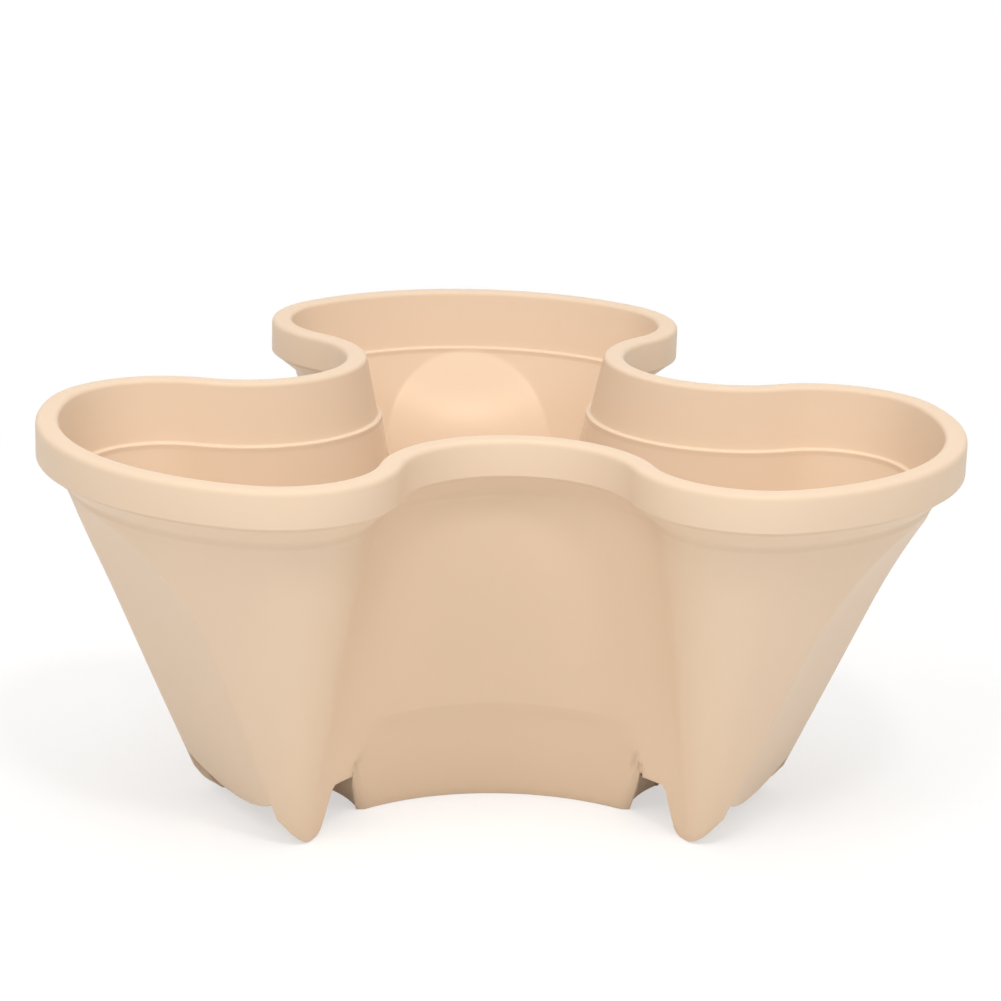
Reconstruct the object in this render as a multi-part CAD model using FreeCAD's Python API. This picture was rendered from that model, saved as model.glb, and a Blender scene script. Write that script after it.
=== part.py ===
"""One tier of a three-lobed stacking planter, moulded in polypropylene.

The axis of the tier is upright and the tier stands on Z = 0. The rear lobe points along +Y, and the other two
lobes stand 120 degrees apart. A lobe is worked out in its own frame, with x outwards along the lobe and y
across it, and then turned to its place. A valley, the waist between two lobes, has the same kind of frame,
turned 60 degrees.

Every horizontal section of the tier is the same kind of outline: a broad arc at each lobe's tip, a tighter
arc at its two shoulders and a hollow arc in each valley, all tangent. The walls are ruled between one such
outline under the rim and a smaller one where the tier stands. The arcs are worked as flats. Beside every
foot the walls leave a notch up to the floor, whose hub side is a cone about the middle of the valley's arc of
a tier turned 60 degrees.
"""
import FreeCAD, Part
import math
import os
from collections import namedtuple

from FreeCAD import Vector

# Sizes over all
TIER_HEIGHT = 147.0
LOBE_COUNT = 3
LOBE_BEARINGS = {"rear": 90.0, "left": 210.0, "right": 330.0}
LOBE_SIDES = {"rear": ("left", "right"), "left": ("front", "back"), "right": ("back", "front")}
VALLEY_BEARINGS = {"front": 270.0, "rear_left": 150.0, "rear_right": 30.0}

# Outline of the rim band, seen from above
RIM_REACH = 175.0
RIM_TIP_RADIUS = 99.0
RIM_HALF_WIDTH = 82.0
RIM_SHOULDER_RADIUS = 43.2

# Distance from the tips' ends in to the circle on which the middles of all the valleys' arcs lie
VALLEY_SETBACK = 67.3

# Outline of the walls where the tier stands
FOOT_SETBACK = 58.7
FOOT_TIP_RADIUS = 43.0
FOOT_HALF_WIDTH = 32.3
FOOT_SHOULDER_RADIUS = 6.0

# Rim band, with its broken top edges, and the sloping shoulder below it
BAND_HEIGHT = 14.0
BAND_WIDTH = 7.8
RIM_EDGE = 1.5
BAND_UNDERCUT = 1.5
SHOULDER_HEIGHT = 10.5
WALL_INSET = 10.8
LEDGE_DROP = 22.5
LEDGE_INSET = 12.4

# Walls
WALL = 3.4
PANEL_KNEE_HEIGHT = 77.0
PANEL_KNEE_SETBACK = 37.8
PANEL_SLOPE = 22.8
RELIEF_HEIGHT = 41.0
RELIEF_STEP = 1.2
RELIEF_DEPTH = 3.5
VALLEY_SIDE_SETBACK = 99.55
VALLEY_START = 20.0

# Floors: a flat one over the notches, and in each lobe a trough that curves up to its side walls
NOTCH_HEIGHT = 18.5
POCKET_UNDERSIDE = 10.0
TROUGH_HALF_WIDTH = 33.5
FLOOR = 3.4
POCKET_SETBACK = 87.0
CENTRE_DRAIN_RADIUS = 6.0
DRAIN_RADIUS = 3.0
DRAIN_COUNT = 6
DRAIN_CIRCLE = 28.0

# Notch's hub side: its radius under the floor and what it widens by down to the ground
NOTCH_RADIUS = 41.4
NOTCH_FLARE = 3.2

# Feet: rounded tongues of the side walls, measured along those walls
FOOT_BEARING = 33.0
TOE_SETBACK = 79.0
TOE_FLAT = 2.0
TOE_RADIUS = 11.0
TOE_LEAN = 22.5
NOTCH_SIDE_RADIUS = 4.2
NOTCH_SIDE_LEAN = 6.9

# Flats that stand for each arc of the walls, on half a lobe
TIP_STEPS = 7
SHOULDER_STEPS = 17
VALLEY_STEPS = 11

# Flats that stand for the arcs of a notch, a toe and a trough
NOTCH_STEPS = 40
TOE_STEPS = 6
TROUGH_STEPS = 40

# Reach of the cutting solids past what they cut
PAST = 5.0
FAR = 2.0 * RIM_REACH

AXIS = Vector(0, 0, 1)
VALLEY_CENTRE = RIM_REACH - VALLEY_SETBACK
PANEL_KNEE_REACH = RIM_REACH - PANEL_KNEE_SETBACK
POCKET_START = RIM_REACH - POCKET_SETBACK
TOE_END = RIM_REACH - TOE_SETBACK
BAND_BOTTOM = TIER_HEIGHT - BAND_HEIGHT
WALL_TOP = BAND_BOTTOM - SHOULDER_HEIGHT
LEDGE_LEVEL = TIER_HEIGHT - LEDGE_DROP
SECTOR = 360.0 / LOBE_COUNT
VALLEY_HALF_WIDTH = RIM_REACH * math.sin(math.radians(0.5 * SECTOR)) - VALLEY_SIDE_SETBACK
PANEL_WALL = WALL / math.cos(math.radians(PANEL_SLOPE))

# Half of a lobe's outline is three tangent arcs, with its sizes measured outwards from the centre
Outline = namedtuple("Outline", "reach tip_radius half_width shoulder_radius")
RIM = Outline(RIM_REACH, RIM_TIP_RADIUS, RIM_HALF_WIDTH, RIM_SHOULDER_RADIUS)
FOOT = Outline(RIM_REACH - FOOT_SETBACK, FOOT_TIP_RADIUS, FOOT_HALF_WIDTH, FOOT_SHOULDER_RADIUS)


def polar(radius, degrees):
    """Point at a radius and a bearing in the XY plane."""
    angle = math.radians(degrees)
    return Vector(radius * math.cos(angle), radius * math.sin(angle), 0)


def turned(shape, bearing):
    """Copy of a shape made in a lobe's or a valley's frame, turned to its bearing about the axis."""
    copy = shape.copy()
    copy.rotate(Vector(0, 0, 0), AXIS, bearing)
    return copy


def box(low, high):
    """Box between two corners."""
    size = high - low
    return Part.makeBox(size.x, size.y, size.z, low)


def arc_points(centre, radius, start, end, steps):
    """Points along an arc about a centre, between two bearings."""
    return [centre + polar(radius, start + (end - start) * step / steps) for step in range(steps + 1)]


def inset(outline, distance):
    """Outline drawn in by a distance all round."""
    return Outline(*(size - distance for size in outline))


def shoulder_centre(outline):
    """Centre of the shoulder's circle, which touches the tip's circle from inside."""
    across = outline.half_width - outline.shoulder_radius
    apart = outline.tip_radius - outline.shoulder_radius
    return Vector(outline.reach - outline.tip_radius + math.sqrt(apart ** 2 - across ** 2), across, 0)


def valley_radius(outline):
    """Radius of the valley's circle, which touches the shoulders' circles from outside."""
    apart = polar(VALLEY_CENTRE, 0.5 * SECTOR) - shoulder_centre(outline)
    return apart.Length - outline.shoulder_radius


def bearing_of(vector):
    """Bearing of a vector in degrees."""
    return math.degrees(math.atan2(vector.y, vector.x))


def half_outline(outline):
    """Points of an outline from the middle of a lobe's tip to the middle of the next valley."""
    tip_centre = Vector(outline.reach - outline.tip_radius, 0, 0)
    shoulder = shoulder_centre(outline)
    valley_centre = polar(VALLEY_CENTRE, 0.5 * SECTOR)
    tip_end = bearing_of(shoulder - tip_centre)
    shoulder_end = bearing_of(valley_centre - shoulder)
    valley_end = 0.5 * SECTOR + 180.0
    tip = arc_points(tip_centre, outline.tip_radius, 0, tip_end, TIP_STEPS)
    side = arc_points(shoulder, outline.shoulder_radius, tip_end, shoulder_end, SHOULDER_STEPS)
    valley = arc_points(valley_centre, valley_radius(outline), shoulder_end + 180.0, valley_end, VALLEY_STEPS)
    return tip + side[1:] + valley[1:]


def flat_sided(low, high):
    """Solid between two closed lines with as many points each: two flats join each two neighbouring pairs."""
    corners = [low, high]
    for index in range(len(low)):
        corners.append([low[index - 1], low[index], high[index]])
        corners.append([low[index - 1], high[index], high[index - 1]])
    faces = [Part.Face(Part.makePolygon(loop + loop[:1])) for loop in corners]
    solid = Part.Solid(Part.Shell(faces))
    if solid.Volume < 0:
        solid.reverse()
    return solid


def half_body(lower, low_level, upper, high_level):
    """Solid between two outlines at their levels, for half of a lobe."""
    low = [AXIS * low_level + point for point in [Vector(0, 0, 0)] + half_outline(lower)]
    high = [AXIS * high_level + point for point in [Vector(0, 0, 0)] + half_outline(upper)]
    return flat_sided(low, high)


def half_stack(profile):
    """Half of a lobe, solid between outlines that are given from the bottom up as (outline, level)."""
    bodies = [half_body(*lower, *upper) for lower, upper in zip(profile, profile[1:])]
    return bodies[0].fuse(bodies[1:])


def half_rim():
    """Rim over half a lobe: the upright band, the slope set back under it, and the ledge inside."""
    edge_level = TIER_HEIGHT - RIM_EDGE
    wall = inset(RIM, WALL_INSET)
    body = half_stack([
        (wall, WALL_TOP), (inset(RIM, BAND_UNDERCUT), BAND_BOTTOM),
    ]).fuse(half_stack([
        (RIM, BAND_BOTTOM), (RIM, edge_level), (inset(RIM, RIM_EDGE), TIER_HEIGHT),
    ]))
    mouth = inset(RIM, BAND_WIDTH)
    cavity = half_stack([
        (inset(wall, WALL), WALL_TOP), (inset(wall, WALL), LEDGE_LEVEL),
    ]).fuse(half_stack([
        (inset(RIM, LEDGE_INSET), LEDGE_LEVEL), (mouth, edge_level), (inset(mouth, -RIM_EDGE), TIER_HEIGHT),
    ]))
    return body.cut(cavity)


def panel_cutter(shift):
    """What lies outside a lobe's end panel, whose profile is a straight slope with a flared top.

    The flare is the arc that leaves the slope's top tangentially and ends at the wall's top.
    """
    slope = math.tan(math.radians(PANEL_SLOPE))
    knee = Vector(PANEL_KNEE_REACH, 0, PANEL_KNEE_HEIGHT)
    top = Vector(RIM_REACH - WALL_INSET, 0, WALL_TOP)
    foot_level = -PAST
    foot = Vector(knee.x + slope * (foot_level - knee.z), 0, foot_level)
    normal = Vector(math.cos(math.radians(PANEL_SLOPE)), 0, -math.sin(math.radians(PANEL_SLOPE)))
    chord = top - knee
    flare_radius = chord.dot(chord) / (2.0 * chord.dot(normal))
    centre = knee + normal * flare_radius
    towards = (knee - centre) + (top - centre)
    middle = centre + towards * (flare_radius / towards.Length)
    lift = Vector(top.x + slope * PAST, 0, WALL_TOP + PAST)
    far_top = Vector(FAR, 0, lift.z)
    far_foot = Vector(FAR, 0, foot_level)
    flare = Part.Arc(knee, middle, top).toShape()
    face = Part.Face(Part.Wire([
        line(foot, knee), flare, line(top, lift), line(lift, far_top), line(far_top, far_foot),
        line(far_foot, foot),
    ]))
    face.translate(Vector(shift, -RIM_HALF_WIDTH, 0))
    return face.extrude(Vector(0, 2.0 * RIM_HALF_WIDTH, 0))


def outline_at(level):
    """Outline of the walls' outer face at a level."""
    share = level / WALL_TOP
    return Outline(*(low + (high - low) * share for low, high in zip(FOOT, inset(RIM, WALL_INSET))))


def valley_slab(low_level, high_level):
    """Slab that holds one valley's wall, between the two lobes' side walls."""
    low = Vector(VALLEY_START, -VALLEY_HALF_WIDTH, low_level)
    high = Vector(FAR, VALLEY_HALF_WIDTH, high_level)
    return box(low, high)


def half_recess():
    """Valley's wall below the step, over half a lobe: set in, and leaning back more than the wall above."""
    foot = inset(FOOT, RELIEF_DEPTH)
    top = inset(outline_at(RELIEF_HEIGHT), RELIEF_STEP)
    outer = half_body(foot, 0, top, RELIEF_HEIGHT)
    return outer.cut(half_body(inset(foot, WALL), 0, inset(top, WALL), RELIEF_HEIGHT))


def whole_valley(half):
    """Valley's stretch of something that is given over half a lobe, in the valley's own frame."""
    near = turned(half, -0.5 * SECTOR).common(valley_slab(-PAST, TIER_HEIGHT + PAST))
    return near.fuse(mirrored(near))


def valley_wall(shell):
    """Wall of one valley in its own frame."""
    above = box(Vector(0, -FAR, RELIEF_HEIGHT), Vector(FAR, FAR, TIER_HEIGHT))
    return whole_valley(shell.common(above).fuse(half_recess()).cut(notch_cone(0)))


def positive_half():
    """Half of a lobe with y above zero."""
    return box(Vector(0, 0, -PAST), Vector(FAR, FAR, TIER_HEIGHT + PAST))


def half_sector():
    """Space from the middle of a lobe to the middle of the next valley."""
    return positive_half().common(turned(mirrored(positive_half()), 0.5 * SECTOR))


def mirrored(shape):
    """Mirror image in the plane along a lobe or a valley."""
    return shape.mirror(Vector(0, 0, 0), Vector(0, 1, 0))


def line(start, end):
    """Straight edge."""
    return Part.LineSegment(start, end).toShape()


def notch_cone(inset_by):
    """Space of the notches on a lobe: all that lies within the notch's hub side, drawn in by a wall."""
    radius = NOTCH_RADIUS + inset_by
    flare = NOTCH_FLARE * (NOTCH_HEIGHT + PAST) / NOTCH_HEIGHT
    low_centre = Vector(VALLEY_CENTRE, 0, -PAST)
    high_centre = Vector(VALLEY_CENTRE, 0, NOTCH_HEIGHT)
    low = arc_points(low_centre, radius + flare, 90, 270, NOTCH_STEPS)
    return flat_sided(low, arc_points(high_centre, radius, 90, 270, NOTCH_STEPS))


def upright(points):
    """Points drawn in the XY plane, set upright with their Y as height."""
    return [Vector(point.x, 0, point.y) for point in points]


def tongue():
    """Space of a foot: it narrows downwards between leaning sides to a rounded toe."""
    outer_centre = Vector(TOE_END, TOE_RADIUS, 0)
    inner_centre = Vector(TOE_END - TOE_FLAT, NOTCH_SIDE_RADIUS, 0)
    inner = arc_points(inner_centre, NOTCH_SIDE_RADIUS, 180.0 + NOTCH_SIDE_LEAN, 270.0, TOE_STEPS)
    outer = arc_points(outer_centre, TOE_RADIUS, -90.0, -TOE_LEAN, TOE_STEPS)
    notch_run = (NOTCH_HEIGHT - inner[0].y) * math.tan(math.radians(NOTCH_SIDE_LEAN))
    crease_run = (NOTCH_HEIGHT - outer[-1].y) * math.tan(math.radians(TOE_LEAN))
    inner_top = Vector(inner[0].x - notch_run, NOTCH_HEIGHT, 0)
    outer_top = Vector(outer[-1].x + crease_run, NOTCH_HEIGHT, 0)
    profile = upright([inner_top] + inner + outer + [outer_top])
    through = Vector(0, FAR, 0)
    solid = flat_sided([point - through for point in profile], [point + through for point in profile])
    return turned(solid, FOOT_BEARING).common(half_sector())


def trough(inset_by):
    """Space over the underside of a lobe's floor, which is an arc across the lobe."""
    rise = NOTCH_HEIGHT - POCKET_UNDERSIDE
    radius = (TROUGH_HALF_WIDTH ** 2 + rise ** 2) / (2.0 * rise)
    centre = Vector(0, POCKET_UNDERSIDE + radius, 0)
    across = arc_points(centre, radius - inset_by, 180, 360, TROUGH_STEPS)
    across += [Vector(point.x, TIER_HEIGHT, 0) for point in (across[-1], across[0])]
    start = [Vector(POCKET_START, point.x, point.y) for point in across]
    return flat_sided(start, [Vector(FAR, point.x, point.y) for point in across])


def half_walls():
    """Wall of half a lobe, up to the middle of the valley, and the space inside it."""
    wall = inset(RIM, WALL_INSET)
    body = half_body(FOOT, 0, wall, WALL_TOP).cut(panel_cutter(0))
    between_sides = half_body(inset(FOOT, WALL), 0, inset(wall, WALL), WALL_TOP)
    cavity = between_sides.cut(panel_cutter(-PANEL_WALL))
    return body.cut(cavity), body.cut(between_sides), cavity


def lobe_walls(shell, flank):
    """End panel, and the side wall and foot at y above zero, in a lobe's own frame."""
    panel_space = panel_cutter(-PANEL_WALL)
    ground = box(Vector(0, -FAR, -PAST), Vector(FAR, FAR, NOTCH_HEIGHT))
    foot = flank.common(tongue())
    half_panel = shell.common(panel_space).common(trough(0)).cut(foot)
    side = shell.cut(panel_space).cut(ground).cut(turned(valley_slab(-PAST, TIER_HEIGHT), 0.5 * SECTOR))
    return half_panel.fuse(mirrored(half_panel)), side, foot


def pocket_floor(space):
    """Floor of one lobe, with the riser up to the flat floor."""
    riser_end = Vector(POCKET_START + FLOOR, FAR, NOTCH_HEIGHT + FLOOR)
    riser = box(Vector(POCKET_START, -FAR, 0), riser_end)
    below = box(Vector(POCKET_START, -FAR, 0), Vector(FAR, FAR, NOTCH_HEIGHT + FLOOR))
    layer = trough(0).cut(trough(FLOOR)).common(below)
    return space.common(layer.fuse(riser.common(trough(0))))


def hub_floor(space):
    """Flat floor over the hub and the notches, with its drain holes."""
    top = Vector(POCKET_START, FAR, NOTCH_HEIGHT + FLOOR)
    arm = space.common(box(Vector(-FAR, -FAR, NOTCH_HEIGHT), top))
    arms = [turned(arm, index * SECTOR) for index in range(LOBE_COUNT)]
    floor = arms[0].fuse(arms[1:])
    drains = [Part.makeCylinder(CENTRE_DRAIN_RADIUS, TIER_HEIGHT)]
    for index in range(DRAIN_COUNT):
        drain = Part.makeCylinder(DRAIN_RADIUS, TIER_HEIGHT, Vector(DRAIN_CIRCLE, 0, 0))
        drains.append(turned(drain, index * 360.0 / DRAIN_COUNT))
    return floor.cut(drains)


def spigot_wall(body):
    """Wall under a lobe on the hub side of its notches."""
    near_axis = box(Vector(0, -FAR, 0), Vector(VALLEY_CENTRE - 0.5 * NOTCH_RADIUS, FAR, NOTCH_HEIGHT))
    wall = notch_cone(WALL).cut(notch_cone(0)).common(near_axis).common(body)
    return max(wall.Solids, key=lambda solid: solid.Volume)


def build():
    """All the regions of the moulding, by name."""
    nodes = {}
    rim = half_rim()
    rim_valley = whole_valley(rim)
    half_rim_lobe = rim.cut(turned(valley_slab(-PAST, TIER_HEIGHT + PAST), 0.5 * SECTOR))
    rim_lobe = half_rim_lobe.fuse(mirrored(half_rim_lobe))
    shell, flank, half_cavity = half_walls()
    end_panel, side_wall, foot = lobe_walls(shell, flank)
    valley = valley_wall(shell)
    valley_walls = [turned(valley, (index + 0.5) * SECTOR) for index in range(LOBE_COUNT)]
    half_lobe_body = shell.fuse(half_cavity)
    space = half_cavity.fuse(mirrored(half_cavity)).cut(valley_walls)
    pocket = pocket_floor(space)
    spigot = spigot_wall(half_lobe_body.fuse(mirrored(half_lobe_body)).cut(valley_walls))
    nodes["hub_floor"] = turned(hub_floor(space), LOBE_BEARINGS["rear"])
    for name, bearing in VALLEY_BEARINGS.items():
        nodes["rim_%s_valley" % name] = turned(rim_valley, bearing)
        nodes["valley_wall_" + name] = turned(valley, bearing)
    for lobe, bearing in LOBE_BEARINGS.items():
        first, second = LOBE_SIDES[lobe]
        nodes["rim_%s_lobe" % lobe] = turned(rim_lobe, bearing)
        nodes["end_panel_" + lobe] = turned(end_panel, bearing)
        nodes["side_wall_%s_%s" % (lobe, first)] = turned(side_wall, bearing)
        nodes["side_wall_%s_%s" % (lobe, second)] = turned(mirrored(side_wall), bearing)
        nodes["foot_%s_%s" % (lobe, first)] = turned(foot, bearing)
        nodes["foot_%s_%s" % (lobe, second)] = turned(mirrored(foot), bearing)
        nodes["pocket_floor_" + lobe] = turned(pocket, bearing)
        nodes["spigot_wall_" + lobe] = turned(spigot, bearing)
    return nodes


os.makedirs("parts", exist_ok=True)
tier = build()
middle = Part.makeCompound(list(tier.values())).optimalBoundingBox().Center
for name, shape in tier.items():
    shape = shape.removeSplitter()
    shape.translate(Vector(-middle.x, -middle.y, 0))
    shape.exportStep("parts/%s.step" % name)
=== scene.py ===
import math

import bpy
import numpy as np
from mathutils import Matrix, Vector


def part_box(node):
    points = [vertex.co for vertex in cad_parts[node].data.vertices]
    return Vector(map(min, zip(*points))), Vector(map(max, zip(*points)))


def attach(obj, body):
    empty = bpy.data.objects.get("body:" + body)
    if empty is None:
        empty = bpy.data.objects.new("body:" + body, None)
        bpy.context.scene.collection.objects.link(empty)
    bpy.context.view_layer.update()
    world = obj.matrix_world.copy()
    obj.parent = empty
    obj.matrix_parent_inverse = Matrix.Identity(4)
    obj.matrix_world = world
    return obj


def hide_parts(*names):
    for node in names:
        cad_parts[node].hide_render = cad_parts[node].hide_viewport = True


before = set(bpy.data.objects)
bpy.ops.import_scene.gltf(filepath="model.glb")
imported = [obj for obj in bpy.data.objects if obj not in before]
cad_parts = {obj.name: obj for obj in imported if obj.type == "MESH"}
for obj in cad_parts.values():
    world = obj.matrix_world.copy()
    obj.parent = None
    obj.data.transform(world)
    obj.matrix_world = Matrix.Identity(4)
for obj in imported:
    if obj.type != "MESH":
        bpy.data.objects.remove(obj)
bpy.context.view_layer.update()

# The tier is one polypropylene moulding, so one seamless skin stands for its rim, walls and feet. The floors
# and the spigot walls are the frame's own. Lengths of the tier are in millimetres, and MM turns them to the
# frame's metres.
MM = 0.001

# Levels, from the plane that the tier stands on
TIER_HEIGHT = 147.0
BAND_BOTTOM = 133.0
LEDGE_LEVEL = 124.5
WALL_TOP = 122.5
HUB_FLOOR_TOP = 22.0

# Outline of the rim and of the walls' foot: reach, tip radius, half width and shoulder radius of a lobe
RIM = (175.0, 99.0, 82.0, 43.2)
FOOT = (116.3, 43.0, 32.3, 6.0)

# Lobes, with a valley between each two. A valley's arc has its centre at VALLEY_CENTRE from the tier's axis,
# which is at VALLEY_X and VALLEY_Y in the frame of the lobe beside it.
LOBE_COUNT = 3
SECTOR = 2.0 * math.pi / LOBE_COUNT
REAR_BEARING = 0.5 * math.pi
VALLEY_CENTRE = 107.7
VALLEY_X = VALLEY_CENTRE * math.cos(0.5 * SECTOR)
VALLEY_Y = VALLEY_CENTRE * math.sin(0.5 * SECTOR)

# Section of the rim, as insets from its outline: a neck over the wall, the band, and a ledge inside
WALL_INSET = 10.8
WALL = 3.4
NECK_INSET = 10.0
NECK_RISE = 1.5
NECK_DRAFT = 0.5
NECK_LEVEL = 126.5
BAND_UNDERCUT = 1.5
BAND_WIDTH = 7.8
BAND_LIP = 0.3
LIP_RISE = 0.5
BAND_EDGE_RISE = 0.7
LEDGE_INSET = 12.4
LEDGE_FALL = 0.05
ARC_POINTS = 5

# End panel: a straight slope with a flared top, and a crease where it meets the side walls. It ends before
# the outline's way reaches the valley.
PANEL_KNEE_LEVEL = 77.0
PANEL_KNEE_REACH = 137.2
PANEL_SLOPE = math.radians(22.8)
OUTER_CREASE_BLEND = 0.7
INNER_CREASE_BLEND = 0.3
CREASE_FADE = 12.0
PANEL_END_WAY = 1.9

# Crown of the end panel's inner face, between the hub floor's level and the wall's top
CROWN_HEIGHT = 1.4
CROWN_HALF_WIDTH = 33.0
CROWN_RISE = 30.0
CROWN_LEVEL = 90.0
CROWN_STOP = 2.0

# Recess of the valley wall: it deepens towards its foot, and its edges are soft
RECESS_LEVEL = 41.0
RECESS_SOFTNESS = 8.0
RECESS_SIDE_SOFTNESS = 14.0
RECESS_SIDE_RISE = 7.0
RECESS_TOP_DEPTH = 1.2
RECESS_FOOT_DEPTH = 3.5
VALLEY_HALF_WIDTH = 52.0
STEP_HALF_WIDTH = 0.3

# Notch beside a foot, under the flat floor. Its hub side is a cone about an axis in the lobe, VALLEY_CENTRE
# from the tier's own.
NOTCH_LEVEL = 18.5
NOTCH_RADIUS = 41.4
NOTCH_FLARE = 3.2
NOTCH_CORNER = 3.0

# Foot: a tongue of the side wall with a rounded toe, measured along that wall
FOOT_BEARING = math.radians(33.0)
TOE_END = 96.0
TOE_RADIUS = 11.0
TOE_LEAN = math.radians(28.0)
NOTCH_SIDE_END = 94.0
NOTCH_SIDE_RADIUS = 4.2
NOTCH_SIDE_LEAN = math.radians(6.9)

# Lower edge of the end panel, an arc across the lobe
POCKET_UNDERSIDE = 9.3
TROUGH_HALF_WIDTH = 33.5

# The tier's own axis, in the frame: the frame's origin is the middle of its box
AXIS_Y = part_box("rim_rear_lobe")[1][1] / MM - RIM[0]

# Tables of levels and of ways along half a lobe's outline, fine enough to read with straight lines between
LEVEL_TABLE = np.linspace(0.0, WALL_TOP, 260)
EDGE_TABLE = np.linspace(0.0, NOTCH_LEVEL, 371)
WAY_END = 3.0
WAY_TABLE = np.linspace(0.0, WAY_END, 1801)
LEAST_CREASE_WAY = 0.3

# Columns of half a lobe: across the end panel, round the side wall and round the valley wall, as shares of
# each. They stand closer at the crease.
PANEL_COLUMNS = 20
PANEL_SHARES = 1.0 - np.linspace(1.0, 0.0, PANEL_COLUMNS, endpoint=False) ** 1.8
SIDE_SHARES = np.linspace(0.0, 1.0, 80) ** 1.4
VALLEY_SHARES = np.linspace(0.0, 1.0, 28)

# Rows of the wall: some that start a little over its lower edge and rise with it, and then fixed levels,
# closer at the recess's top and under the rim
EDGE_ROUND = 0.8
LOW_ROWS = 11
WALL_LEVELS = np.array([
    39.7, 40.1, 40.5, 40.9, 41.3, 45.0, 52.0, 60.0, 68.0, 75.0, 82.0, 88.0, 93.0, 97.0, 100.5, 103.5, 106.5,
    109.0, 111.5, 113.5, 115.5, 117.0, 118.5, 119.7, 120.7, 121.5, 122.1, 122.5])

# Rows under the wall, from inside to outside: the share of the way across it, and the height over its edge
EDGE_SECTION = ((0.95, 0.2), (0.8, 0.0), (0.2, 0.0), (0.05, 0.2))


def inset(outline, depth):
    """Outline drawn in by a depth, which may be an array."""
    return tuple(size - depth for size in outline)


def smooth_step(start, end, value):
    """0 before start, 1 after end, and 3 t^2 - 2 t^3 between."""
    t = np.clip((value - start) / (end - start), 0.0, 1.0)
    return t * t * (3.0 - 2.0 * t)


def outline_point(outline, way):
    """Point of half a lobe's outline, in the lobe's frame.

    The way runs from 0 to 1 along the tip's arc, on to 2 along the shoulder's and on to 3 along the
    valley's. Each arc is centre + radius (cos a, sin a), with its angle a linear in the way, and each touches
    the next.
    """
    reach, tip_radius, half_width, shoulder_radius = outline
    tip_x = reach - tip_radius
    across = half_width - shoulder_radius
    along = np.sqrt((tip_radius - shoulder_radius) ** 2 - across ** 2)
    shoulder_x = tip_x + along
    tip_end = np.arctan2(across, along)
    shoulder_end = np.arctan2(VALLEY_Y - across, VALLEY_X - shoulder_x)
    hollow = np.hypot(VALLEY_X - shoulder_x, VALLEY_Y - across) - shoulder_radius
    on_tip = tip_end * np.clip(way, 0.0, 1.0)
    on_shoulder = tip_end + (shoulder_end - tip_end) * np.clip(way - 1.0, 0.0, 1.0)
    on_valley = shoulder_end + math.pi + (0.5 * SECTOR - shoulder_end) * np.clip(way - 2.0, 0.0, 1.0)
    x = np.where(
        way < 1.0, tip_x + tip_radius * np.cos(on_tip),
        np.where(way < 2.0, shoulder_x + shoulder_radius * np.cos(on_shoulder),
                 VALLEY_X + hollow * np.cos(on_valley)))
    y = np.where(
        way < 1.0, tip_radius * np.sin(on_tip),
        np.where(way < 2.0, across + shoulder_radius * np.sin(on_shoulder),
                 VALLEY_Y + hollow * np.sin(on_valley)))
    return x, y


def ruled_point(way, level, depth):
    """Point of the wall, a depth in from its outer face: the line from the foot's outline to the top's."""
    share = level / WALL_TOP
    low_x, low_y = outline_point(inset(FOOT, depth), way)
    high_x, high_y = outline_point(inset(RIM, WALL_INSET + depth), way)
    return low_x + (high_x - low_x) * share, low_y + (high_y - low_y) * share


def panel_reach(level):
    """Reach of the end panel's outer face: a slope, and above its knee the arc tangent to it."""
    lean = math.tan(PANEL_SLOPE)
    normal = np.array([math.cos(PANEL_SLOPE), -math.sin(PANEL_SLOPE)])
    knee = np.array([PANEL_KNEE_REACH, PANEL_KNEE_LEVEL])
    chord = np.array([RIM[0] - WALL_INSET, WALL_TOP]) - knee
    radius = chord.dot(chord) / (2.0 * chord.dot(normal))
    centre = knee + normal * radius
    slope = PANEL_KNEE_REACH + lean * (level - PANEL_KNEE_LEVEL)
    flare = centre[0] - np.sqrt(np.maximum(radius ** 2 - (level - centre[1]) ** 2, 0.0))
    return np.where(level < PANEL_KNEE_LEVEL, slope, flare)


def panel_limit(level, depth):
    """Reach of the end panel, a wall's depth in from its outer face."""
    return panel_reach(level) - depth / math.cos(PANEL_SLOPE)


def across_valley(x, y):
    """Distance of a point in the lobe's frame from the middle plane of the next valley."""
    return x * math.sin(0.5 * SECTOR) - y * math.cos(0.5 * SECTOR)


def way_where(measure, limit, depth):
    """For every level of the table, the way at which a falling measure of the wall's point passes a limit."""
    ways = []
    for level, value in zip(LEVEL_TABLE, limit):
        x, y = ruled_point(WAY_TABLE, level, depth)
        ways.append(np.interp(-value, -measure(x, y), WAY_TABLE))
    return np.array(ways)


def column_ways(depth):
    """Way of each column at each level of the table. Columns follow the crease and the recess's side."""
    crease = way_where(lambda x, y: x, panel_limit(LEVEL_TABLE, depth), depth)
    crease = np.maximum(crease, LEAST_CREASE_WAY)[:, None]
    width = np.full_like(LEVEL_TABLE, VALLEY_HALF_WIDTH)
    outside = way_where(across_valley, width + STEP_HALF_WIDTH, depth)[:, None]
    inside = way_where(across_valley, width - STEP_HALF_WIDTH, depth)[:, None]
    return np.hstack([
        crease * PANEL_SHARES,
        crease + (outside - crease) * SIDE_SHARES,
        inside + (WAY_END - inside) * VALLEY_SHARES,
    ])


def at_level(table, level):
    """Values of a table's columns at the level of each grid point, linear between the table's levels."""
    place = np.clip(level / WALL_TOP, 0.0, 1.0) * (len(LEVEL_TABLE) - 1)
    low = np.minimum(place.astype(int), len(LEVEL_TABLE) - 2)
    share = place - low
    column = np.broadcast_to(np.arange(table.shape[1]), level.shape)
    return table[low, column] * (1.0 - share) + table[low + 1, column] * share


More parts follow.
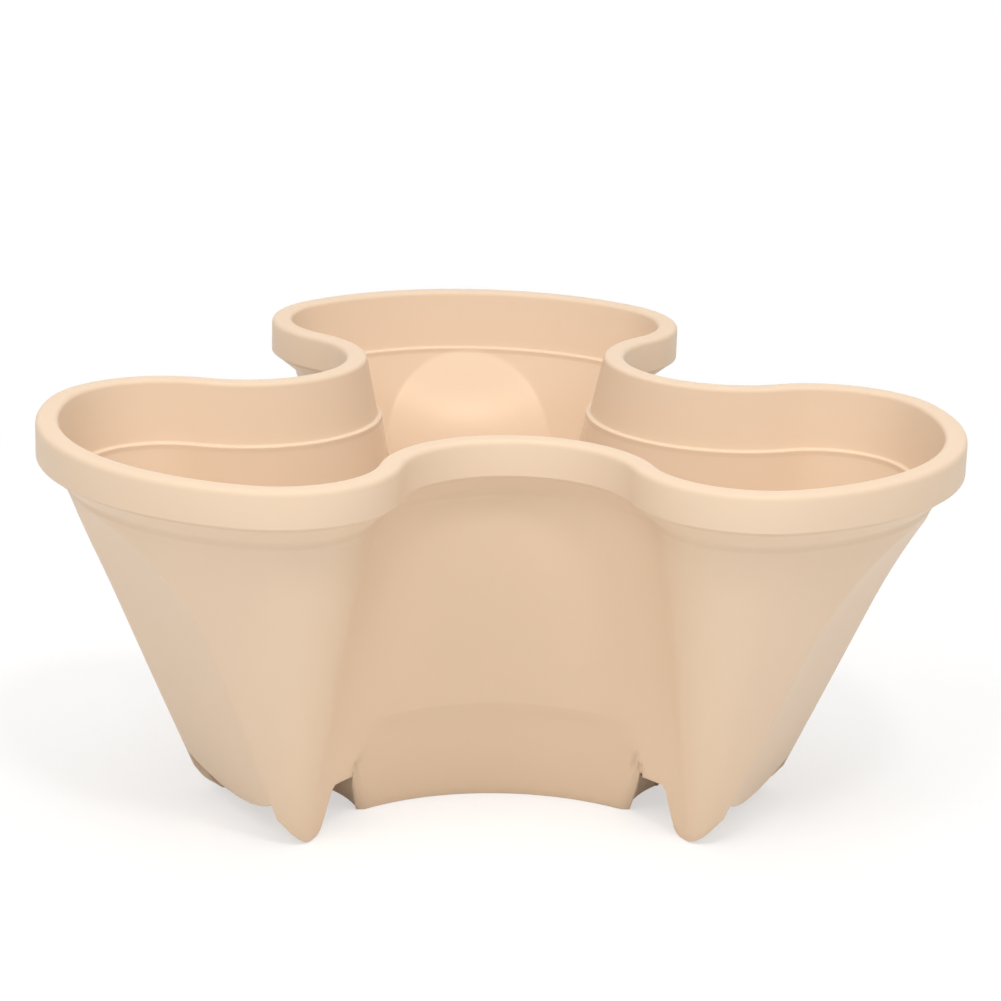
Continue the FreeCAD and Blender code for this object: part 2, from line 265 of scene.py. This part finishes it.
def tongue_side(level, radius, lean):
    """Distance of a foot's side from the end of its flat toe.

    It is the toe's arc, sqrt(r^2 - (r - z)^2), up to where the leaning side touches it, and then that side.
    """
    touch = radius * (1.0 - math.sin(lean))
    on_arc = np.sqrt(np.maximum(radius ** 2 - (radius - np.minimum(level, touch)) ** 2, 0.0))
    return on_arc + np.maximum(level - touch, 0.0) * math.tan(lean)


def trough_level(y):
    """Level of the arc under the lobe's floor at a distance from the lobe's middle."""
    rise = NOTCH_LEVEL - POCKET_UNDERSIDE
    radius = (TROUGH_HALF_WIDTH ** 2 + rise ** 2) / (2.0 * rise)
    return POCKET_UNDERSIDE + radius - np.sqrt(radius ** 2 - np.minimum(np.abs(y), TROUGH_HALF_WIDTH) ** 2)


def recessed(x, y, level, depth_more=0.0):
    """Point moved straight away from the valley's centre by the depth of the valley wall's recess.

    The depth is a line in the level. It fades out at the recess's top, and at its sides in a step that widens
    over the hub floor.
    """
    apart = np.hypot(x - VALLEY_X, y - VALLEY_Y)
    side = np.abs(across_valley(x, y))
    recess = RECESS_TOP_DEPTH + (RECESS_FOOT_DEPTH - RECESS_TOP_DEPTH) * (1.0 - level / RECESS_LEVEL)
    recess = recess * (1.0 - smooth_step(RECESS_LEVEL - RECESS_SOFTNESS, RECESS_LEVEL, level))
    over_floor = smooth_step(HUB_FLOOR_TOP, HUB_FLOOR_TOP + RECESS_SIDE_RISE, level)
    fade = 2.0 * STEP_HALF_WIDTH + RECESS_SIDE_SOFTNESS * over_floor
    side_end = VALLEY_HALF_WIDTH + STEP_HALF_WIDTH
    recess = recess * (1.0 - smooth_step(side_end - fade, side_end, side))
    recess = recess + depth_more * (side < VALLEY_HALF_WIDTH)
    return x + (x - VALLEY_X) / apart * recess, y + (y - VALLEY_Y) / apart * recess


def past_notch(x, y, level):
    """Distance of a point from the notch's hub side, towards the hub."""
    return np.hypot(x - VALLEY_CENTRE, y) - NOTCH_RADIUS - NOTCH_FLARE * (1.0 - level / NOTCH_LEVEL)


def lower_edge(table):
    """Lowest level in each column of half a lobe from which the wall stands unbroken."""
    level = EDGE_TABLE[:, None] + np.zeros(table.shape[1])
    way = at_level(table, level)
    x, y = ruled_point(way, level, 0.0)
    x = np.minimum(x, panel_limit(level, 0.0))
    along = x * math.cos(FOOT_BEARING) + y * math.sin(FOOT_BEARING)
    stands = along < TOE_END + tongue_side(level, TOE_RADIUS, TOE_LEAN)
    stands &= along > NOTCH_SIDE_END - tongue_side(level, NOTCH_SIDE_RADIUS, NOTCH_SIDE_LEAN)
    in_skirt = past_notch(*recessed(x, y, level), level) > 0.0
    stands |= in_skirt & (across_valley(x, y) < VALLEY_HALF_WIDTH)
    on_panel = np.arange(table.shape[1]) < PANEL_COLUMNS
    stands = np.where(on_panel, level > trough_level(y), stands)
    stands[-1] = True
    lowest = len(level) - 1 - np.argmin(stands[::-1], axis=0)
    lowest = np.where(stands.all(axis=0), 0, lowest + 1)
    return level[lowest, 0]


def panel_crown(y, level):
    """Height of the slight crown on the panel's inner face: c (1 - (y / w)^2), faded out at both ends."""
    across = 1.0 - np.minimum(np.abs(y) / CROWN_HALF_WIDTH, 1.0) ** 2
    low = smooth_step(HUB_FLOOR_TOP, HUB_FLOOR_TOP + CROWN_RISE, level)
    high = 1.0 - smooth_step(CROWN_LEVEL, WALL_TOP - CROWN_STOP, level)
    return CROWN_HEIGHT * across * low * high


def notch_corner(x, y, level):
    """Depth taken off the skirt's outer corner beside the notch, faded out under the notch's roof.

    It is r - sqrt(r^2 - t^2), with t the distance to where the rounding starts.
    """
    short = np.clip(NOTCH_CORNER - past_notch(*recessed(x, y, level), level), 0.0, NOTCH_CORNER)
    corner = NOTCH_CORNER - np.sqrt(NOTCH_CORNER ** 2 - short ** 2)
    return corner * (1.0 - smooth_step(NOTCH_LEVEL - NOTCH_CORNER, NOTCH_LEVEL, level))


def wall_point(way, level, depth):
    """Wall's point with the end panel and the valley's recess worked in.

    The panel's limit p cuts the reach x with a soft minimum: (x + p - sqrt((x - p)^2 + b^2)) / 2, with a
    blend b that fades towards the wall's top.
    """
    x, y = ruled_point(way, level, depth)
    limit = panel_limit(level, depth)
    blend = OUTER_CREASE_BLEND
    if depth > 0.0:
        limit = limit - panel_crown(y, level)
        blend = INNER_CREASE_BLEND
    blend = blend * (1.0 - smooth_step(WALL_TOP - CREASE_FADE, WALL_TOP, level))
    cut = 0.5 * (x + limit - np.sqrt((x - limit) ** 2 + blend ** 2))
    x = np.where(way < PANEL_END_WAY, cut, x)
    if depth > 0.0:
        return recessed(x, y, level)
    return recessed(x, y, level, notch_corner(x, y, level))


def rounded(corners):
    """Polyline with its inner corners rounded. Each corner is (x, z, radius).

    A corner's curve starts and ends at radius times tan(half the turn) from it, and its points are
    corner + u s^2 + v (1 - s)^2, with u and v from the corner to those ends: the parabola that touches both
    sides there.
    """
    points = [np.array([corners[0][:2]])]
    for before, corner, after in zip(corners, corners[1:], corners[2:]):
        here = np.array(corner[:2])
        back = np.array(before[:2]) - here
        on = np.array(after[:2]) - here
        turn = math.pi - math.acos(np.clip(back.dot(on) / np.linalg.norm(back) / np.linalg.norm(on), -1, 1))
        cut = corner[2] * math.tan(0.5 * turn)
        back = back / np.linalg.norm(back) * cut
        on = on / np.linalg.norm(on) * cut
        share = np.linspace(0.0, 1.0, ARC_POINTS)[:, None]
        points.append(here + back * (1.0 - share) ** 2 + on * share ** 2)
    points.append(np.array([corners[-1][:2]]))
    return np.vstack(points)


def rim_section():
    """Rim's section from the wall's top outside, over the band, to the wall's top inside: (inset, level)."""
    return rounded([
        (WALL_INSET, WALL_TOP, 0.0),
        (NECK_INSET, WALL_TOP + NECK_RISE, 1.5),
        (NECK_INSET - NECK_DRAFT, NECK_LEVEL, 4.0),
        (BAND_UNDERCUT + BAND_LIP, BAND_BOTTOM - BAND_LIP, 0.6),
        (BAND_UNDERCUT, BAND_BOTTOM + LIP_RISE, 0.3),
        (0.0, BAND_BOTTOM + BAND_EDGE_RISE, 0.8),
        (0.0, TIER_HEIGHT, 2.2),
        (BAND_WIDTH, TIER_HEIGHT, 2.0),
        (LEDGE_INSET, LEDGE_LEVEL, 0.8),
        (WALL_INSET + WALL, LEDGE_LEVEL - LEDGE_FALL, 0.7),
        (WALL_INSET + WALL, WALL_TOP, 0.0),
    ])


def row_levels(edge):
    """Levels of the wall's rows in every column, from just over its lower edge to its top."""
    shares = np.linspace(0.0, 1.0, LOW_ROWS, endpoint=False)[:, None]
    low = edge[None, :] + EDGE_ROUND
    rising = low + (WALL_LEVELS[0] - low) * shares
    return np.vstack([rising, np.repeat(WALL_LEVELS[:, None], len(edge), axis=1)])


def wall_rows(ways, levels, depth):
    """Rows of points of the wall, a depth in from its outer face, at each column's levels."""
    x, y = wall_point(at_level(ways, levels), levels, depth)
    return np.stack([x, y, levels], axis=2)


def rim_rows(outer_ways, inner_ways):
    """Rows of points over the rim: its section, carried round the lobe's outline.

    The columns' ways change over from the outer wall's to the inner's by 3 t^2 - 2 t^3, with t the share of
    the way along the section.
    """
    section = rim_section()
    run = np.cumsum(np.hypot(*np.diff(section, axis=0).T))[:-1, None]
    depth, level = section[1:-1, 0][:, None], section[1:-1, 1][:, None]
    over = smooth_step(0.0, run[-1], run)
    x, y = outline_point(inset(RIM, depth), outer_ways[-1] * (1.0 - over) + inner_ways[-1] * over)
    return np.stack([x, y, np.broadcast_to(level, x.shape)], axis=2)


def edge_rows(outer_ways, inner_ways, edge):
    """Rows of points under the wall, along its lower edge, from its inner face back to its outer one.

    Each is inner face times share plus outer face times (1 - share), lifted at the corners to round them.
    """
    outer = wall_rows(outer_ways, edge[None, :], 0.0)
    inner = wall_rows(inner_ways, edge[None, :], WALL)
    return np.vstack([outer + (inner - outer) * share + (0.0, 0.0, lift) for share, lift in EDGE_SECTION])


def half_lobe():
    """Grid of points of half a lobe, whose rows go up the outside, over the rim, down the inside and back.

    With it comes a number for each row: 1 on the inner face and 0 elsewhere.
    """
    outer_ways = column_ways(0.0)
    inner_ways = column_ways(WALL)
    edge = lower_edge(outer_ways)
    levels = row_levels(edge)
    faces = [
        wall_rows(outer_ways, levels, 0.0),
        rim_rows(outer_ways, inner_ways),
        wall_rows(inner_ways, levels, WALL)[::-1],
        edge_rows(outer_ways, inner_ways, edge),
    ]
    inside = np.repeat([0.0, 0.0, 1.0, 0.0], [len(face) for face in faces])
    return np.vstack(faces), inside


def whole_ring(half):
    """Half a lobe's grid, mirrored and turned about the tier's axis into a closed ring."""
    mirrored = half * np.array([1.0, -1.0, 1.0])
    lobe = np.concatenate([mirrored[:, :0:-1], half[:, :-1]], axis=1)
    parts = []
    for index in range(LOBE_COUNT):
        bearing = REAR_BEARING + index * SECTOR
        x = lobe[..., 0] * math.cos(bearing) - lobe[..., 1] * math.sin(bearing)
        y = lobe[..., 0] * math.sin(bearing) + lobe[..., 1] * math.cos(bearing)
        parts.append(np.stack([x, y + AXIS_Y, lobe[..., 2]], axis=2))
    return np.concatenate(parts, axis=1)


def closed_grid_mesh(name, grid):
    """Mesh of a grid that closes on itself both ways, with its faces turned outwards."""
    rows, columns = grid.shape[:2]
    row, column = np.meshgrid(np.arange(rows), np.arange(columns), indexing="ij")
    below, beside = (row + 1) % rows, (column + 1) % columns
    quads = np.stack([
        row * columns + column, row * columns + beside, below * columns + beside, below * columns + column,
    ], axis=2).reshape(-1, 4)
    points = grid.reshape(-1, 3) * MM
    a, b, c, d = (points[quads[:, corner]] for corner in range(4))
    volume = (np.cross(b - a, c - a) * a).sum() + (np.cross(c - a, d - a) * a).sum()
    if volume < 0.0:
        quads = quads[:, ::-1]
    mesh = bpy.data.meshes.new(name)
    mesh.from_pydata(points, [], quads)
    mesh.shade_smooth()
    mesh.update()
    return mesh


def add_object(name, data):
    """Puts a mesh, a light or a camera into the scene."""
    item = bpy.data.objects.new(name, data)
    bpy.context.scene.collection.objects.link(item)
    return item


def linear(hex_colour):
    """Hex sRGB colour as linear red, green, blue and alpha."""
    parts = [int(hex_colour[index:index + 2], 16) / 255.0 for index in (1, 3, 5)]
    light = [part / 12.92 if part <= 0.04045 else ((part + 0.055) / 1.055) ** 2.4 for part in parts]
    return (*light, 1.0)


def add_node(tree, kind, settings=None, links=None):
    """Adds a node with its settings and input values, and links it from other nodes' outputs."""
    node = tree.nodes.new(kind)
    for name, value in (settings or {}).items():
        if hasattr(node, name):
            setattr(node, name, value)
        else:
            node.inputs[name].default_value = value
    for name, source in (links or {}).items():
        tree.links.new(source, node.inputs[name])
    return node


# Finish of the moulding: the attribute that is 1 on the inside, and the sizes of its patterns
CORE_SIDE = "core_side"
POLISH_DRIFT = 35.0
GRAIN_WIDTH = 1.5
GRAIN_HEIGHT = 0.05


def moulded_polypropylene():
    """Satin moulded polypropylene: an opaque, slightly waxy plastic with a soft, broad sheen.

    Its pigment also warms what it reflects. The mould's polish is a little uneven, so the sheen drifts over
    some 35 mm. Its grain is a faint bump 1.5 mm wide, drawn coarser than the real one so that it shows. The
    inside came off the mould's polished core, so it mirrors a lamp as a soft bright spot.
    """
    material = bpy.data.materials.new("moulded_polypropylene_stone_beige")
    material.use_nodes = True
    tree = material.node_tree
    shader = tree.nodes["Principled BSDF"]
    shader.inputs["Base Color"].default_value = linear("#E8CFB4")
    shader.inputs["IOR"].default_value = 1.49
    shader.inputs["Specular IOR Level"].default_value = 0.12
    shader.inputs["Specular Tint"].default_value = linear("#EBCFB2")
    place = add_node(tree, "ShaderNodeTexCoord").outputs["Object"]
    polish = add_node(tree, "ShaderNodeTexNoise", {"Scale": 1.0 / (POLISH_DRIFT * MM), "Detail": 3.0}, {
        "Vector": place})
    sheen = add_node(tree, "ShaderNodeMapRange", {"To Min": 0.36, "To Max": 0.5}, {
        "Value": polish.outputs["Fac"]})
    core = add_node(tree, "ShaderNodeAttribute", {"attribute_name": CORE_SIDE})
    polished = add_node(tree, "ShaderNodeMapRange", {"To Max": 0.2}, {
        "Value": core.outputs["Fac"], "To Min": sheen.outputs["Result"]})
    grain = add_node(tree, "ShaderNodeTexNoise", {"Scale": 1.0 / (GRAIN_WIDTH * MM), "Detail": 2.0}, {
        "Vector": place})
    bump = add_node(tree, "ShaderNodeBump", {"Strength": 0.35, "Distance": GRAIN_HEIGHT * MM}, {
        "Height": grain.outputs["Fac"]})
    tree.links.new(polished.outputs["Result"], shader.inputs["Roughness"])
    tree.links.new(bump.outputs["Normal"], shader.inputs["Normal"])
    return material


def seen_directly(tree):
    """1 for rays from the camera, or off gloss or through glass, which show the background as plain white."""
    path = add_node(tree, "ShaderNodeLightPath")
    either = add_node(tree, "ShaderNodeMath", {"operation": "MAXIMUM"}, {
        0: path.outputs["Is Camera Ray"], 1: path.outputs["Is Glossy Ray"]})
    return add_node(tree, "ShaderNodeMath", {"operation": "MAXIMUM"}, {
        0: either.outputs[0], 1: path.outputs["Is Transmission Ray"]}).outputs[0]


# Where the floor starts to fade into plain white, and where the fade ends, in metres from the tier's middle
SHADOW_REACH = (0.22, 0.5)


def matt_white_floor():
    """Matt white floor.

    Seen directly, it is raised to white outside the tier's shadow, and far off it is plain white.
    """
    material = bpy.data.materials.new("matt_white_floor")
    material.use_nodes = True
    tree = material.node_tree
    tree.nodes.remove(tree.nodes["Principled BSDF"])
    matt = add_node(tree, "ShaderNodeBsdfDiffuse", {"Color": linear("#F2F2F2")})
    near_matt = add_node(tree, "ShaderNodeBsdfDiffuse", {"Color": linear("#B8B8B8")})
    near_glow = add_node(tree, "ShaderNodeEmission", {"Strength": 0.55})
    near = add_node(tree, "ShaderNodeAddShader", None, {0: near_matt.outputs[0], 1: near_glow.outputs[0]})
    white = add_node(tree, "ShaderNodeEmission", {"Strength": 1.0})
    place = add_node(tree, "ShaderNodeTexCoord").outputs["Object"]
    distance = add_node(tree, "ShaderNodeVectorMath", {"operation": "LENGTH"}, {0: place})
    far_share = add_node(tree, "ShaderNodeMapRange", {
        "interpolation_type": "SMOOTHSTEP", "From Min": SHADOW_REACH[0], "From Max": SHADOW_REACH[1]}, {
        "Value": distance.outputs["Value"]})
    seen = add_node(tree, "ShaderNodeMixShader", None, {
        0: far_share.outputs["Result"], 1: near.outputs[0], 2: white.outputs[0]})
    mix = add_node(tree, "ShaderNodeMixShader", None, {
        0: seen_directly(tree), 1: matt.outputs[0], 2: seen.outputs[0]})
    tree.links.new(mix.outputs[0], tree.nodes["Material Output"].inputs["Surface"])
    return material


def build_tier(material):
    """Skin of the rim and walls, and the frame's own floors and spigot walls in the same plastic."""
    half, inside = half_lobe()
    grid = whole_ring(half)
    mesh = closed_grid_mesh("tier_shell", grid)
    mesh.materials.append(material)
    on_core = np.repeat(inside, grid.shape[1]).astype(np.float32)
    mesh.attributes.new(CORE_SIDE, "FLOAT", "POINT").data.foreach_set("value", on_core)
    shell = add_object("tier_shell", mesh)
    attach(shell, "root")
    kept = ("hub_floor", "pocket_floor", "spigot_wall")
    covered = [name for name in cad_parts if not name.startswith(kept)]
    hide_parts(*covered)
    for name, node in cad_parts.items():
        if name.startswith(kept):
            node.data.materials.clear()
            node.data.materials.append(material)


# Half the width of the floor, in metres
FLOOR_HALF_WIDTH = 6.0


def lay_floor(material):
    """Flat square floor under the tier."""
    low, high = -FLOOR_HALF_WIDTH, FLOOR_HALF_WIDTH
    mesh = bpy.data.meshes.new("floor")
    mesh.from_pydata([(low, low, 0), (high, low, 0), (high, high, 0), (low, high, 0)], [], [(0, 1, 2, 3)])
    mesh.materials.append(material)
    floor = add_object("floor", mesh)


# The world's colour, and the strength that it lights the tier with
WHITE = (1.0, 1.0, 1.0, 1.0)
WORLD_LEVEL = 0.42


def surround_with_white():
    """World that lights the tier softly from all sides, and is plain white where it is seen directly."""
    world = bpy.data.worlds.new("studio")
    bpy.context.scene.world = world
    world.use_nodes = True
    tree = world.node_tree
    background = tree.nodes["Background"]
    background.inputs["Color"].default_value = WHITE
    background.inputs["Strength"].default_value = WORLD_LEVEL
    seen = add_node(tree, "ShaderNodeBackground", {"Color": WHITE, "Strength": 1.0})
    mix = add_node(tree, "ShaderNodeMixShader", None, {
        0: seen_directly(tree), 1: background.outputs[0], 2: seen.outputs[0]})
    tree.links.new(mix.outputs[0], tree.nodes["World Output"].inputs["Surface"])


# Soft lamps, in metres and watts: name, place, width and power. The small one makes the bright spot on the
# rear panel.
SOFTBOXES = (
    ("left_softbox", (-0.84, -1.14, 1.48), 1.0, 11.3),
    ("right_softbox", (0.84, -1.14, 1.48), 1.0, 7.4),
    ("top_softbox", (0.0, -0.06, 1.87), 1.4, 9.6),
    ("front_softbox", (0.13, -1.04, 1.57), 0.2, 5.0),
)
SOFTBOX_AIM = Vector((0.0, 0.0, 0.07))


def hang_softboxes():
    """Soft lamps over and before the tier, each turned towards its middle."""
    for name, place, size, power in SOFTBOXES:
        light = bpy.data.lights.new(name, "AREA")
        light.energy = power
        light.size = size
        lamp = add_object(name, light)
        lamp.location = place
        lamp.rotation_euler = (SOFTBOX_AIM - Vector(place)).to_track_quat("-Z", "Y").to_euler()


# Camera, worked out from the rim's outline in the photograph. Its aim is measured from the rim's middle.
CAMERA_FOCAL = 107.6
CAMERA_SENSOR = 36.0
CAMERA_DISTANCE = 1110.5
CAMERA_ELEVATION = math.radians(16.392)
CAMERA_ROLL = math.radians(1.830)
CAMERA_TURN = math.radians(4.780)
CAMERA_AIM = Vector((2.77, 0.0, -41.91))
CAMERA_CLIP = 50.0


def place_camera():
    """Camera at the photograph's viewing angle, turned about the tier's axis and rolled about its own."""
    rise, flat = math.sin(CAMERA_ELEVATION), math.cos(CAMERA_ELEVATION)
    forward = Vector((0.0, flat, -rise))
    up = Vector((0.0, rise, flat))
    side = Vector((1.0, 0.0, 0.0))
    roll_side = side * math.cos(CAMERA_ROLL) + up * math.sin(CAMERA_ROLL)
    roll_up = up * math.cos(CAMERA_ROLL) - side * math.sin(CAMERA_ROLL)
    turn = Matrix.Rotation(-CAMERA_TURN, 3, "Z")
    place = turn @ (CAMERA_AIM - forward * CAMERA_DISTANCE) + Vector((0.0, AXIS_Y, TIER_HEIGHT))
    axes = [turn @ axis for axis in (roll_side, roll_up, -forward)]
    camera = bpy.data.cameras.new("camera")
    camera.lens = CAMERA_FOCAL
    camera.sensor_width = CAMERA_SENSOR
    camera.clip_start = CAMERA_CLIP * MM
    holder = add_object("camera", camera)
    rows = [[axes[column][row] for column in range(3)] + [place[row] * MM] for row in range(3)]
    holder.matrix_world = Matrix(rows + [[0.0, 0.0, 0.0, 1.0]])
    bpy.context.scene.camera = holder


bpy.context.scene.view_settings.view_transform = "Standard"
build_tier(moulded_polypropylene())
lay_floor(matt_white_floor())
surround_with_white()
hang_softboxes()
place_camera()
